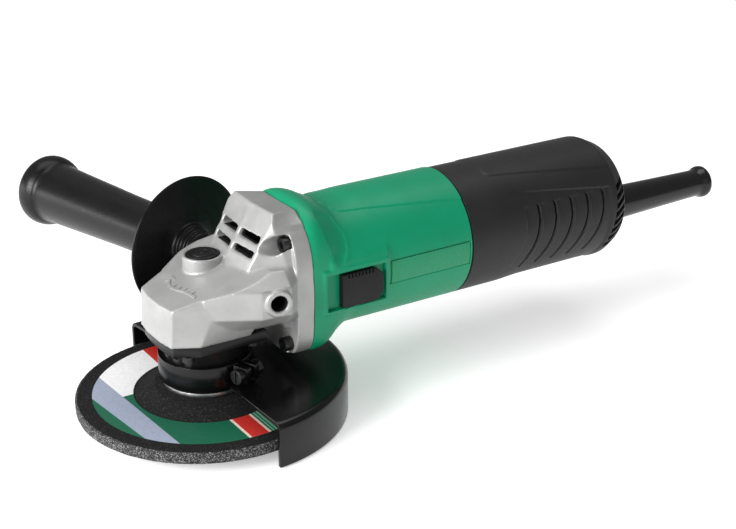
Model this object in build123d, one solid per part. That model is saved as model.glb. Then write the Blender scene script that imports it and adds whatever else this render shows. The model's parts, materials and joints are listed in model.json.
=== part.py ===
from build123d import *
import math
import os

# Angle grinder for a 125 mm wheel, in millimetres.
# Origin: centre of the lock nut's lower face, on the spindle axis.
# +Z up the spindle, +X along the motor to the tail, +Y towards the side handle.

# ---- driving dimensions ----
MOTOR_Z = 58.5            # height of the motor axis
BARREL_R = 32.5           # outside of the motor barrel
WALL = 2.7                # moulded wall of the housings
HEAD_BOTTOM_Z = 39.4      # joint between gear head and bearing cover
FLANGE_X = 42.0           # joint between gear head and motor housing
FLANGE_FRONT_X = 33.0
SEAM_X = 132.7            # joint between motor housing and tail cover
TAIL_X = 235.6            # rear face of the tail cover
SPIGOT_END_X = 168.0      # inner end of the motor housing, inside the tail cover
FIT = 0.05                # radial clearance of a running fit

WHEEL_R = 62.5
WHEEL_THICK = 6.0
HUB_RISE = 4.6            # how far the wheel's centre is raised
WHEEL_BORE_R = 11.8
LABEL_IN_R = 34.9
LABEL_OUT_R = 54.3
SPINDLE_THREAD_R = 7.0    # M14
NUT_R = 18.5
NUT_THICK = 4.6
SPANNER_PCD = 30.0
SPANNER_HOLE_R = 2.5
INNER_FLANGE_R = 20.5
INNER_FLANGE_TOP_Z = 14.0

NECK_R = 19.9             # neck of the bearing cover, which the guard clamps on
NECK_BOTTOM_Z = 16.0
COVER_FLANGE_Z = 34.4
GUARD_R = 67.7
GUARD_TOP_Z = 16.6
GUARD_BOTTOM_Z = -5.5
GUARD_SHEET = 1.8
GUARD_START = -88.5       # azimuth of the guard's near end
GUARD_SWEEP = 185.5
COLLAR_R = 22.4
COLLAR_TOP_Z = 27.0
CLAMP_AZIMUTH = -70.0

RING_TEETH = 38
PINION_TEETH = 11
RING_PITCH_R = 19.5       # at the outer end of the teeth
FACE_WIDTH = 6.0
TOOTH_SHARE = 0.40        # tooth thickness over pitch, the rest is gap and backlash
ADDENDUM = 0.75           # in modules
DEDENDUM = 1.20
FLANK_DEG = 22.0

BUTTON_XY = (5.2, 8.5)    # lock button and its pin
BUTTON_R = 8.0
BOSS_R = 9.8
BOSS_TOP_Z = 71.6
BUTTON_FLOOR_Z = 65.4
LOCK_PIN_R = 2.0
LOCK_PIN_END_Z = 51.4
WEB_TOP_Z = 50.5          # web of the ring gear, which holds the lock holes

SOCKET_X = 20.0           # side handle sockets, one on each side
SOCKET_Y = 38.2
SOCKET_Z = 59.3
SOCKET_SWEEP = 14.0       # degrees that the handle leans forward
SOCKET_THREAD_R = 4.0     # M8
SOCKET_DEPTH = 16.0
SOCKET_BOSS_R = 6.4

UPPER_SCREW = (23.2, 81.0)
LOWER_SCREW = (22.2, 30.0)
HEAD_SCREW_R = 2.5
SCREW_HEAD_R = 3.5
UPPER_POCKET_R = 3.9
LOWER_POCKET_R = 5.6
RETAINER_R = 21.4         # plate that keeps the armature's front bearing in the head
RETAINER_SCREW_RADIUS = 18.4

CORE_X = (76.0, 122.0)    # laminated cores of stator and armature
CORE_R = 17.2
STATOR_BORE_R = 18.0
STATOR_R = 29.2
STATOR_FLAT_Y = 26.0
SHAFT_R = 5.0
COMMUTATOR_X = (134.0, 151.0)
COMMUTATOR_R = 10.5
BRUSH_X = 142.5

KNOB_X = (55.9, 78.6)     # slide switch knob, at rest (off)
KNOB_Z = (47.0, 63.3)
KNOB_FACE_Y = -34.4
POCKET_FLOOR_Y = -30.8
POCKET_X = (49.0, 80.6)
POCKET_Z = (46.4, 64.0)
SWITCH_TRAVEL = 6.5
BAR_Y = (-28.6, -26.8)
BAR_Z = (52.0, 57.0)

ARMOUR_Z = 49.0
ARMOUR_END_X = 320.6
ARMOUR_BASE_R = 9.7
ARMOUR_TIP_R = 7.6
ARMOUR_BORE_R = 3.6

APEX = Vector(0, 0, MOTOR_Z)   # where the two bevel gear axes meet


# ---- helpers ----
def box(x, y, z):
    """Box from three (low, high) pairs."""
    size = [high - low for low, high in (x, y, z)]
    middle = [(high + low) / 2 for low, high in (x, y, z)]
    return Pos(*middle) * Box(*size)


def rod_x(x, r, y=0.0, z=MOTOR_Z):
    """Cylinder along X between the two values of x."""
    return Pos((x[0] + x[1]) / 2, y, z) * Rot(0, 90, 0) * Cylinder(r, x[1] - x[0])


def rod_z(z, r, x=0.0, y=0.0):
    """Cylinder along Z between the two values of z."""
    return Pos(x, y, (z[0] + z[1]) / 2) * Cylinder(r, z[1] - z[0])


def ring_x(x, r_in, r_out, y=0.0, z=MOTOR_Z):
    return rod_x(x, r_out, y, z) - rod_x(x, r_in, y, z)


def ring_z(z, r_in, r_out):
    return rod_z(z, r_out) - rod_z(z, r_in)


def polygon(points, plane):
    return plane * make_face(Polyline(*points, close=True))


def turned(points, degrees=360.0):
    """Solid of revolution about Z from (radius, height) points."""
    return revolve(polygon(points, Plane.XZ), Axis.Z, degrees)


def mirrored_outline(half):
    """Closed outline from its +Y half, given front to back."""
    return half + [(x, -y) for x, y in reversed(half)]


def both_sides(solid):
    return solid + mirror(solid, Plane.XZ)


def grouped(solids):
    return Compound(children=[solid for solid in solids])


def spread_x(solid, count, start=0.0):
    """Copies of a solid about the motor axis."""
    turn = Axis((0, 0, MOTOR_Z), (1, 0, 0))
    return [solid.rotate(turn, start + 360 * k / count) for k in range(count)]


def spread_z(solid, count, start=0.0):
    """Copies of a solid about the spindle axis."""
    return [solid.rotate(Axis.Z, start + 360 * k / count) for k in range(count)]


def coil_spring(pitch, height, radius, wire_r):
    path = Helix(pitch, height, radius)
    start = Plane(origin=path @ 0, z_dir=path % 0)
    return sweep(start * Circle(wire_r), path=path)


def barrel_section(x, half_width, top, bottom, top_power, bottom_power, inset=0.0):
    """Superellipse about the motor axis: power 2 is round, more is squarer."""
    points = []
    for k in range(24):
        angle = 2 * math.pi * (k + 0.5) / 24
        c, s = math.cos(angle), math.sin(angle)
        reach, power = (top, top_power) if s > 0 else (bottom, bottom_power)
        y = math.copysign(abs(c) ** (2 / power), c) * (half_width - inset)
        z = math.copysign(abs(s) ** (2 / power), s) * (reach - inset)
        points.append((y, z))
    curve = Spline(*points, periodic=True)
    return Plane(origin=(x, 0, MOTOR_Z), x_dir=(0, 1, 0), z_dir=(1, 0, 0)) * make_face(curve)


# ---- gear head ----
FLANGE_SECTION = (31.8, 34.2, 35.0, 3.0, 5.3)


def side_socket():
    """Boss of the near socket, along its own axis."""
    sweep_back = math.radians(SOCKET_SWEEP)
    out = Vector(-math.sin(sweep_back), -math.cos(sweep_back), 0)
    mouth = Vector(SOCKET_X, -SOCKET_Y, SOCKET_Z)
    seat = Plane(origin=mouth, z_dir=out)
    boss = seat * Pos(0, 0, -8) * Cylinder(SOCKET_BOSS_R, 16)
    skirt = seat * Pos(0, 0, -9) * Cone(10.5, SOCKET_BOSS_R, 7)
    hole = seat * Pos(0, 0, -SOCKET_DEPTH / 2) * Cylinder(SOCKET_THREAD_R, SOCKET_DEPTH)
    return boss + skirt, hole


def tower_roof():
    """Space under the tower's roof: flat and narrow in front, rounder towards the flange."""
    front = [(19.5, 95.8), (22.6, 89.0), (26.0, 80.0), (28.2, 66.0), (28.5, 40.0)]
    back = [(15.0, 93.4), (22.6, 89.0), (28.6, 80.0), (31.2, 66.0), (31.4, 40.0)]
    shoulder_x = 24.0
    level = Plane(origin=(0, 0, 0), x_dir=(0, 1, 0), z_dir=(1, 0, 0))
    faces = [polygon(half + [(-y, z) for y, z in reversed(half)], level.offset(x))
             for x, half in ((0.0, front), (shoulder_x, front), (FLANGE_X, back))]
    return loft(faces[0:2], ruled=True) + loft(faces[1:3], ruled=True)


def socket_fairings():
    """Swellings of both side walls, which carry the handle sockets."""
    slim = [(-6.0, 20.0), (14.0, 26.5), (27.0, 29.0), (34.0, 28.5)]
    full = [(-10.0, 22.0), (12.5, 35.3), (27.0, 36.8), (34.0, 31.0)]
    levels = [(44.5, slim), (52.0, full), (65.5, full), (71.5, slim)]
    faces = [polygon(mirrored_outline(half), Plane.XY.offset(z)) for z, half in levels]
    return loft(faces[0:2], ruled=True) + loft(faces[1:3], ruled=True) + loft(faces[2:4], ruled=True)


def gear_head():
    bottom_half = [(-26.2, 6), (-24.8, 16.0), (-13, 22.4), (13, 22.6), (24, 24.5), (FLANGE_X, 26)]
    waist_half = [(-25.0, 6), (-23.6, 16.6), (-6, 24.0), (16, 27.6), (30, 30.3), (FLANGE_X, 31.4)]
    top_half = [(-23.0, 6), (-21.4, 16.6), (-4, 22.6), (17, 26.4), (30, 29.6), (FLANGE_X, 31.0)]
    levels = [(HEAD_BOTTOM_Z, bottom_half), (57.0, waist_half), (66.0, top_half)]
    faces = [polygon(mirrored_outline(half), Plane.XY.offset(z)) for z, half in levels]
    head = loft(faces[0:2], ruled=True) + loft(faces[1:3], ruled=True) + socket_fairings()

    # the sloping deck that carries the lock button
    slope = 0.297
    deck = polygon([(-40, 30), (FLANGE_X, 30), (FLANGE_X, 65.1 + slope * FLANGE_X),
                    (-40, 65.1 - slope * 40)], Plane.XZ.offset(-40))
    head &= extrude(deck, 80)

    # the leaning tower with the air slots
    low = [(5.8, 0.5), (8.4, 18.1), (32, 29.8), (FLANGE_X, 31.4)]
    high = [(27.5, 0.5), (28.9, 21.5), (33, 29.8), (FLANGE_X, 31.4)]
    tower = loft([polygon(mirrored_outline(low), Plane.XY.offset(60.0)),
                  polygon(mirrored_outline(high), Plane.XY.offset(96.0))], ruled=True)
    tower &= tower_roof()
    flange = extrude(barrel_section(FLANGE_FRONT_X, *FLANGE_SECTION), FLANGE_X - FLANGE_FRONT_X)
    head = head + tower + flange
    head += rod_z((58.0, BOSS_TOP_Z), BOSS_R, *BUTTON_XY)
    boss, hole = side_socket()
    head += both_sides(boss)

    # gear chamber, pinion tunnel, bearing seats and lock button well
    head -= rod_z((HEAD_BOTTOM_Z, 56.0), 20.6)
    head -= rod_x((8.2, 14.5), 6.0) + rod_x((14.5, 28.0), 8.5)
    head -= rod_x((28.0, 37.0), 15.0) + rod_x((37.0, FLANGE_X), RETAINER_R + 0.1)
    head -= rod_z((56.0, 62.6), 5.2)
    head -= rod_z((BUTTON_FLOOR_Z, BOSS_TOP_Z), BUTTON_R + 0.15, *BUTTON_XY)
    head -= rod_z((56.0, BUTTON_FLOOR_Z), LOCK_PIN_R + FIT, *BUTTON_XY)

    # air duct from the fan to the slots
    duct = polygon([(19.2, 74.4), (28.0, 89.0), (FLANGE_X, 89.0), (FLANGE_X, 76.4), (27.0, 76.4),
                    (26.4, 74.4)], Plane.XZ.offset(-15.4))
    head -= extrude(duct, 30.8)
    for z in ((74.8, 77.8), (81.0, 84.4)):
        head -= both_sides(box((8.0, 27.0), (1.6, 17.6), z))

    # screw pockets, screw holes and the relief for the guard's clamp
    for (y, z), pocket_r in ((UPPER_SCREW, UPPER_POCKET_R), (LOWER_SCREW, LOWER_POCKET_R)):
        head -= both_sides(rod_x((10.0, FLANGE_FRONT_X + 1), pocket_r, y, z))
        head -= both_sides(rod_x((30.0, FLANGE_X), HEAD_SCREW_R + 0.1, y, z))
    peak = Pos(22.0, UPPER_SCREW[0], UPPER_SCREW[1] + UPPER_POCKET_R * 0.7) * Rot(45, 0, 0)
    head -= both_sides(peak * Box(24.0, UPPER_POCKET_R, UPPER_POCKET_R))
    arch = Pos(21.5, 30, 37) * Rot(90, 0, 0) * Cylinder(8.8, 22)
    head -= both_sides(arch)
    head -= both_sides(hole)
    for x, y in cover_screw_places():
        head -= rod_z((HEAD_BOTTOM_Z, 50.0), 2.1, x, y)
    for screw in spread_x(rod_x((30.0, 37.0), 1.5, 0, MOTOR_Z + RETAINER_SCREW_RADIUS), 4, 45):
        head -= screw
    return head


def cover_screw_places():
    return [(sx * 16.5, sy * 16.7) for sx in (-1, 1) for sy in (-1, 1)]


def bearing_cover():
    """Black cover that closes the gear chamber and holds the spindle's main bearing."""
    half = [(-24.6, 6), (-23.4, 15.4), (-12.6, 21.4), (12.6, 21.6), (22, 21.6), (22.5, 6)]
    cover = extrude(polygon(mirrored_outline(half), Plane.XY.offset(COVER_FLANGE_Z)),
                    HEAD_BOTTOM_Z - COVER_FLANGE_Z)
    cover += rod_z((NECK_BOTTOM_Z, COVER_FLANGE_Z), NECK_R)
    cover -= rod_z((NECK_BOTTOM_Z, 20.0), 9.0)
    cover -= rod_z((20.0, 22.0), 13.0)
    cover -= rod_z((22.0, 32.0), 16.0)
    cover -= rod_z((32.0, HEAD_BOTTOM_Z), 14.5)
    for x, y in cover_screw_places():
        cover -= rod_z((COVER_FLANGE_Z, HEAD_BOTTOM_Z), 2.1, x, y)
    for k in range(5):
        notch = box((-22, -18.4), (-1.6, 1.6), (29.0, 32.4)).rotate(Axis.Z, -40 + 20 * k)
        cover -= notch
    return cover


def bearing_cover_screws():
    screws = []
    for x, y in cover_screw_places():
        head = rod_z((COVER_FLANGE_Z - 2.6, COVER_FLANGE_Z), 2.9, x, y)
        shank = rod_z((COVER_FLANGE_Z, 49.0), 2.0, x, y)
        cross = box((x - 1.9, x + 1.9), (y - 0.4, y + 0.4), (COVER_FLANGE_Z - 2.6, COVER_FLANGE_Z - 1.3))
        screws.append(head + shank - cross - cross.rotate(Axis((x, y, 0), (0, 0, 1)), 90))
    return grouped(screws)


def gear_head_screws():
    screws = []
    seat = FLANGE_FRONT_X + 1
    for (y, z), depth in ((UPPER_SCREW, 10.5), (LOWER_SCREW, 7.5)):
        for side in (-1, 1):
            head = rod_x((seat - 4.4, seat), SCREW_HEAD_R, side * y, z)
            shank = rod_x((seat, FLANGE_X + depth), HEAD_SCREW_R, side * y, z)
            socket = rod_x((seat - 4.4, seat - 2.0), 1.9, side * y, z)
            screws.append(head + shank - socket)
    return grouped(screws)


# ---- motor housing and tail ----
FLARE_END_X = 70.0
FLARE_END_R = BARREL_R - 0.5   # the flare runs 3 mm into the barrel
FLARE = [(FLANGE_X, 32.0, 34.6, 35.3, 3.0, 5.3), (47.5, 32.3, 36.9, 35.6, 2.9, 5.0),
         (55.0, 32.2, 34.6, 33.8, 2.5, 3.6), (62.5, 32.3, 32.2, 32.6, 2.1, 2.4),
         (FLARE_END_X, FLARE_END_R, FLARE_END_R, FLARE_END_R, 2.0, 2.0)]


def flare(inset):
    return loft([barrel_section(*row, inset) for row in FLARE])


def motor_housing():
    barrel_x = (FLARE_END_X - 3.0, SEAM_X)
    body = flare(0.0) + rod_x(barrel_x, BARREL_R)
    body += rod_x((SEAM_X, SPIGOT_END_X), BARREL_R - WALL - 0.15)

    # the flare is hollow, but for the screw posts in its corners
    cavity = flare(WALL + 0.2)
    for (y, z), depth in ((UPPER_SCREW, 12.0), (LOWER_SCREW, 9.0)):
        cavity -= both_sides(rod_x((FLANGE_X - 1, FLANGE_X + depth), 4.4, y, z))
    body -= cavity
    for (y, z), depth in ((UPPER_SCREW, 11.0), (LOWER_SCREW, 8.0)):
        body -= both_sides(rod_x((FLANGE_X, FLANGE_X + depth), HEAD_SCREW_R + FIT, y, z))
    body -= rod_x(barrel_x, BARREL_R - WALL)
    body -= rod_x((SEAM_X, SPIGOT_END_X - 12.0), BARREL_R - 2 * WALL)
    body += ring_x((SEAM_X - 6.0, SEAM_X), BARREL_R - 2 * WALL, BARREL_R - WALL / 2)

    # rear web: bearing seat, air holes and threaded holes for the tail screws
    body -= rod_x((SPIGOT_END_X - 12.0, SPIGOT_END_X - 2.0), 12.5)
    body -= rod_x((SPIGOT_END_X - 2.0, SPIGOT_END_X), 9.0)
    for hole in spread_x(rod_x((SPIGOT_END_X - 12.0, SPIGOT_END_X), 4.6, 0, MOTOR_Z + 19.5), 4, 0):
        body -= hole
    for y, z in tail_screw_places():
        body -= rod_x((SPIGOT_END_X - 11.0, SPIGOT_END_X), 1.6, y, z)

    # windows for the brush holders
    for side in (-1, 1):
        middle = MOTOR_Z + side * 28
        window = box((BRUSH_X - 6.05, BRUSH_X + 6.05), (-5.05, 5.05), (middle - 3, middle + 3))
        body -= window

    # slide switch: pocket, thickened floor, slot for the stem and channel for the bar
    pad = box((52.0, 84.0), (-30.9, -29.2), (44.0, 65.0))
    body += pad & rod_x((52.0, 84.0), BARREL_R - 0.6)
    body -= box(POCKET_X, (-40.0, POCKET_FLOOR_Y), POCKET_Z)
    body -= box((63.6 - SWITCH_TRAVEL, 72.4), (-40.0, -20.0), (52.8, 56.2))
    channel_y = (BAR_Y[0] - 0.4, BAR_Y[1] + 0.6)
    body -= box((SEAM_X - 7.0, SPIGOT_END_X), channel_y, (BAR_Z[0] - 0.4, BAR_Z[1] + 0.4))

    # shallow recess for the blank name plate
    body -= plate_shape(BARREL_R - 0.8, BARREL_R + 2.0, 0.25)
    return body


def plate_shape(r_in, r_out, grow):
    """Curved rectangle on the near side of the barrel."""
    window = box((85.0 - grow, 131.0 + grow), (-40.0, -20.0), (52.0 - grow, 63.4 + grow))
    return window & ring_x((80.0, 132.0), r_in, r_out)


def nameplate():
    return plate_shape(BARREL_R - 0.8, BARREL_R - 0.3, 0.0)


def tail_screw_places():
    return [(side * 19.0, MOTOR_Z + 14.0) for side in (-1, 1)]


def tail_cover():
    profile = [(SEAM_X, 0), (SEAM_X, BARREL_R), (227.5, BARREL_R), (234.0, BARREL_R - 2.9),
               (TAIL_X, BARREL_R - 4.3), (TAIL_X, 0)]
    outline = polygon(profile, Plane.XZ)
    cover = Pos(0, 0, MOTOR_Z) * revolve(outline, Axis.X, 360)
    inside = [(SEAM_X, 0), (SEAM_X, BARREL_R - WALL), (225.5, BARREL_R - WALL), (230.0, BARREL_R - 5.6),
              (TAIL_X - 3.6, BARREL_R - 9.0), (TAIL_X - 3.6, 0)]
    cover -= Pos(0, 0, MOTOR_Z) * revolve(polygon(inside, Plane.XZ), Axis.X, 360)

    # two screw wells, open at the back
    for y, z in tail_screw_places():
        cover += rod_x((SPIGOT_END_X, TAIL_X - 3.0), 4.9, y, z)
        cover -= rod_x((176.0, TAIL_X), 3.5, y, z)
        cover -= rod_x((SPIGOT_END_X, 176.0), 2.0, y, z)

    # air slots round the rear edge, seven on each side
    for k in range(7):
        angle = -34 + 9.5 * k
        slot = box((222.5, TAIL_X), (24.0, 40.0), (MOTOR_Z - 1.3, MOTOR_Z + 1.3))
        slot = slot.rotate(Axis((0, 0, MOTOR_Z), (1, 0, 0)), angle)
        cover -= both_sides(slot)

    # opening for the cord armour, and posts for the cord clamp
    cover -= rod_x((TAIL_X - 5.0, TAIL_X), ARMOUR_BASE_R + FIT, 0, ARMOUR_Z)
    for y in (-9.0, 9.0):
        post = box((216.0, 224.0), (y - 3.0, y + 3.0), (MOTOR_Z - 31.0, ARMOUR_Z - 4.4))
        cover += post & rod_x((216.0, 224.0), BARREL_R - 1.0)
        cover -= rod_z((34.0, ARMOUR_Z), 1.5, 220.5, y)
    return cover


def tail_cover_screws():
    screws = []
    for y, z in tail_screw_places():
        screw = rod_x((176.0, 179.0), 3.3, y, z) + rod_x((SPIGOT_END_X - 10.0, 176.0), 1.55, y, z)
        screws.append(screw - rod_x((177.4, 179.0), 1.3, y, z))
    return grouped(screws)


def cord_armour():
    """Rubber sleeve that guards the mains cable where it leaves the tail."""
    end = ARMOUR_END_X
    profile = [(224.5, ARMOUR_BORE_R), (224.5, 11.2), (TAIL_X - 5.2, 11.2), (TAIL_X - 5.0, ARMOUR_BASE_R),
               (238.0, ARMOUR_BASE_R), (end - 7.0, ARMOUR_TIP_R), (end - 5.0, ARMOUR_TIP_R + 0.6),
               (end - 3.5, ARMOUR_TIP_R + 1.4), (end - 1.0, ARMOUR_TIP_R + 1.5),
               (end, ARMOUR_TIP_R + 0.6), (end, ARMOUR_BORE_R)]
    outline = polygon(profile, Plane.XZ)
    return Pos(0, 0, ARMOUR_Z) * revolve(outline, Axis.X, 360)


def cord_clamp():
    strap = box((217.0, 224.0), (-12.5, 12.5), (ARMOUR_Z - 4.4, ARMOUR_Z - 1.4))
    strap += rod_x((217.0, 224.0), 5.6, 0, ARMOUR_Z) & box((217, 224), (-8, 8), (ARMOUR_Z - 4.4, 60))
    strap -= rod_x((216.0, 225.0), ARMOUR_BORE_R, 0, ARMOUR_Z)
    for y in (-9.0, 9.0):
        strap -= rod_z((40.0, 50.0), 1.6, 220.5, y)
    return strap


def cord_clamp_screws():
    screws = []
    for y in (-9.0, 9.0):
        head = rod_z((ARMOUR_Z - 1.4, ARMOUR_Z + 0.6), 2.8, 220.5, y)
        screws.append(head + rod_z((36.0, ARMOUR_Z - 1.4), 1.45, 220.5, y))
    return grouped(screws)


# ---- ball bearings ----
def bearing_rings(place, bore_r, out_r, width):
    """Outer ring, inner ring and balls of a ball bearing, each its own node."""
    track_r = (bore_r + out_r) / 2
    ball_r = (out_r - bore_r) * 0.29
    track = Torus(track_r, ball_r + 0.06)
    outer = Cylinder(out_r, width) - Cylinder(track_r + ball_r * 0.45, width) - track
    inner = Cylinder(track_r - ball_r * 0.45, width) - Cylinder(bore_r, width) - track
    count = int(2 * math.pi * track_r / (2.5 * ball_r))
    balls = [Pos(track_r, 0, 0) * Sphere(ball_r) for _ in range(count)]
    balls = [ball.rotate(Axis.Z, 360 * k / count) for k, ball in enumerate(balls)]
    return place * outer, place * inner, place * grouped(balls)


# ---- bevel gears ----
def cone_point(pitch_deg, reach, height, side):
    """Point on a bevel tooth, reach along the pitch cone, height above it and side across it.

    The gear's axis is local Z, and the apex is the local origin.
    """
    pitch = math.radians(pitch_deg)
    scale = reach / OUTER_CONE
    r = reach * math.sin(pitch) + height * scale * math.cos(pitch)
    z = reach * math.cos(pitch) - height * scale * math.sin(pitch)
    return Vector(r, side * scale, z)


RING_PITCH_DEG = math.degrees(math.atan2(RING_TEETH, PINION_TEETH))
PINION_PITCH_DEG = 90.0 - RING_PITCH_DEG
OUTER_CONE = RING_PITCH_R / math.sin(math.radians(RING_PITCH_DEG))
INNER_CONE = OUTER_CONE - FACE_WIDTH
MODULE = 2 * RING_PITCH_R / RING_TEETH


def bevel_tooth(pitch_deg):
    """One straight tooth, tapering to the apex, at azimuth zero."""
    half = math.pi * MODULE * TOOTH_SHARE / 2
    lean = math.tan(math.radians(FLANK_DEG))
    tip, root = ADDENDUM * MODULE, -(DEDENDUM + 0.35) * MODULE
    ends = []
    for reach in (OUTER_CONE, INNER_CONE):
        corners = [(root, half - root * lean), (tip, half - tip * lean)]
        points = [cone_point(pitch_deg, reach, height, side) for height, side in corners]
        points += [cone_point(pitch_deg, reach, height, -side) for height, side in reversed(corners)]
        ends.append(make_face(Polyline(*points, close=True)))
    return loft(ends, ruled=True)


def bevel_body(pitch_deg, back, bore_r):
    """Turned blank under the teeth; back lists (radius, height) points behind them."""
    root = -DEDENDUM * MODULE
    inner = cone_point(pitch_deg, INNER_CONE, root, 0)
    outer = cone_point(pitch_deg, OUTER_CONE, root, 0)
    points = [(bore_r, back[-1][1]), (bore_r, inner.Z), (inner.X, inner.Z), (outer.X, outer.Z)] + back
    return turned(points)


def ring_gear():
    """Large bevel gear on the spindle, teeth upward, with four holes for the lock pin."""
    down = Rot(180, 0, 0)
    tooth = bevel_tooth(RING_PITCH_DEG)
    root = -DEDENDUM * MODULE
    inner = cone_point(RING_PITCH_DEG, INNER_CONE, root, 0)
    outer = cone_point(RING_PITCH_DEG, OUTER_CONE, root, 0)
    web_top, web_low = MOTOR_Z - WEB_TOP_Z, MOTOR_Z - 46.5
    blank = turned([(5.5, web_low + 3.5), (5.5, web_top - 0.5), (7.2, web_top - 0.5), (7.2, web_top),
                    (inner.X - 0.8, web_top), (inner.X - 0.8, inner.Z), (inner.X, inner.Z),
                    (outer.X, outer.Z), (outer.X, web_low - 1.0), (outer.X - 1.0, web_low),
                    (7.4, web_low), (7.4, web_low + 3.5)])
    teeth = [tooth.rotate(Axis.Z, 360 * k / RING_TEETH) for k in range(RING_TEETH)]
    gear = Pos(0, 0, MOTOR_Z) * down * blank.fuse(*teeth)
    x, y = BUTTON_XY
    for k in range(4):
        hole = rod_z((40.0, 52.0), LOCK_PIN_R + 0.3, x, y).rotate(Axis.Z, 90 * k)
        gear -= hole
    gear -= box((4.6, 6.6), (-1.55, 1.55), (40.0, 52.0))
    return gear


def pinion():
    tooth = bevel_tooth(PINION_PITCH_DEG)
    root = -DEDENDUM * MODULE
    inner = cone_point(PINION_PITCH_DEG, INNER_CONE, root, 0)
    outer = cone_point(PINION_PITCH_DEG, OUTER_CONE, root, 0)
    blank = turned([(2.35, inner.Z), (inner.X, inner.Z), (outer.X, outer.Z), (outer.X + 0.2, 22.0),
                    (2.35, 22.0)])
    # a gap, not a tooth, points down at the ring gear
    teeth = [tooth.rotate(Axis.Z, 360 * (k + 0.5) / PINION_TEETH) for k in range(PINION_TEETH)]
    gear = blank.fuse(*teeth)
    along_x = Plane(origin=APEX, x_dir=(0, 0, -1), z_dir=(1, 0, 0))
    return along_x * gear


# ---- spindle group ----
def spindle():
    return turned([(0, 2.0), (6.2, 2.0), (SPINDLE_THREAD_R, 2.8), (SPINDLE_THREAD_R, 14.0), (8.5, 14.0),
                   (8.5, 22.0), (6.0, 22.0), (6.0, 34.0), (7.0, 34.0), (7.0, 43.0), (5.5, 43.0),
                   (5.5, 52.4), (3.5, 52.4), (3.5, 61.6), (3.0, 62.1), (0, 62.1)]) \
        - box((4.6, 6.6), (-1.5, 1.5), (44.0, 50.0)) - ring_z((51.2, 52.1), 5.0, 6.0)


def gear_key():
    return box((4.6, 6.5), (-1.5, 1.5), (44.0, 50.0))


def gear_circlip():
    clip = ring_z((51.2, 52.1), 5.0, 6.9)
    return clip - box((-8.0, 0.0), (-1.6, 1.6), (51.0, 52.3))


def inner_flange():
    """Steel washer that drives the wheel, with the pilot that centres it."""
    hub_top = WHEEL_THICK + HUB_RISE
    return turned([(SPINDLE_THREAD_R, 8.2), (10.6, 8.2), (11.0, 8.6), (11.0, hub_top + 0.4),
                   (14.5, hub_top + 0.4), (14.5, hub_top), (INNER_FLANGE_R - 0.6, hub_top),
                   (INNER_FLANGE_R, hub_top + 0.6),
                   (INNER_FLANGE_R, INNER_FLANGE_TOP_Z - 0.8), (INNER_FLANGE_R - 2.4, INNER_FLANGE_TOP_Z),
                   (SPINDLE_THREAD_R, INNER_FLANGE_TOP_Z)])


# ---- wheel group ----
def grinding_wheel():
    """Depressed centre wheel."""
    hub_top = WHEEL_THICK + HUB_RISE
    edge = 0.4
    return turned([(WHEEL_BORE_R, HUB_RISE), (22.0, HUB_RISE), (31.0, 0.0), (WHEEL_R - edge, 0.0),
                   (WHEEL_R, edge), (WHEEL_R, WHEEL_THICK - edge), (WHEEL_R - edge, WHEEL_THICK),
                   (LABEL_IN_R - 0.9, WHEEL_THICK), (24.5, hub_top - 0.2), (23.5, hub_top),
                   (WHEEL_BORE_R, hub_top)])


def wheel_label():
    return ring_z((WHEEL_THICK, WHEEL_THICK + 0.25), LABEL_IN_R, LABEL_OUT_R)


def wheel_bush():
    return ring_z((HUB_RISE, WHEEL_THICK + HUB_RISE), 11.13, WHEEL_BORE_R)


def lock_nut():
    nut = turned([(SPINDLE_THREAD_R + FIT, 0), (NUT_R - 0.8, 0), (NUT_R, 0.8), (NUT_R, NUT_THICK),
                  (10.9, NUT_THICK), (10.9, 7.4), (SPINDLE_THREAD_R + FIT, 7.4)])
    for side in (-1, 1):
        nut -= rod_z((-1.0, NUT_THICK), SPANNER_HOLE_R, 0, side * SPANNER_PCD / 2)
    return nut


# ---- armature group ----
def armature_shaft():
    return rod_x((9.6, 22.0), 2.3) + rod_x((22.0, 152.0), SHAFT_R) + rod_x((152.0, 165.5), 4.0)


def pinion_nut():
    start = Plane(origin=(10.0, 0, MOTOR_Z), x_dir=(0, 1, 0), z_dir=(1, 0, 0))
    return extrude(start * RegularPolygon(4.4, 6), 3.2) - rod_x((10.0, 13.3), 2.3)


def slot_cuts(count, x, r_low, r_high, width):
    cut = box(x, (-width / 2, width / 2), (MOTOR_Z + r_low, MOTOR_Z + r_high))
    return spread_x(cut, count)


def armature_core():
    core = ring_x(CORE_X, SHAFT_R, CORE_R)
    for cut in slot_cuts(12, CORE_X, 9.5, 16.2, 3.0) + slot_cuts(12, CORE_X, 15.0, 20.0, 1.4):
        core -= cut
    return core


def armature_windings():
    """Copper in the twelve slots, joined by the end turns."""
    coils = ring_x((CORE_X[0] - 8, CORE_X[0]), 7.5, 15.6) + ring_x((CORE_X[1], CORE_X[1] + 8), 7.5, 15.6)
    for bar in slot_cuts(12, CORE_X, 9.7, 15.4, 2.7):
        coils += bar
    return coils


def commutator():
    drum = ring_x(COMMUTATOR_X, SHAFT_R, COMMUTATOR_R) + ring_x((131.6, 134.0), SHAFT_R, 12.2)
    for cut in slot_cuts(24, (133.0, COMMUTATOR_X[1]), 8.8, 12.6, 0.5):
        drum -= cut
    return drum


def fan():
    wheel = ring_x((44.5, 55.0), SHAFT_R, 8.5) + ring_x((53.4, 55.0), 8.0, 25.4)
    blade = box((44.5, 54.0), (-0.7, 0.7), (MOTOR_Z + 12.0, MOTOR_Z + 25.4))
    lean = Axis((0, 0, MOTOR_Z + 12.0), (1, 0, 0))
    for part in spread_x(blade.rotate(lean, 25), 13):
        wheel += part
    return wheel


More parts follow.
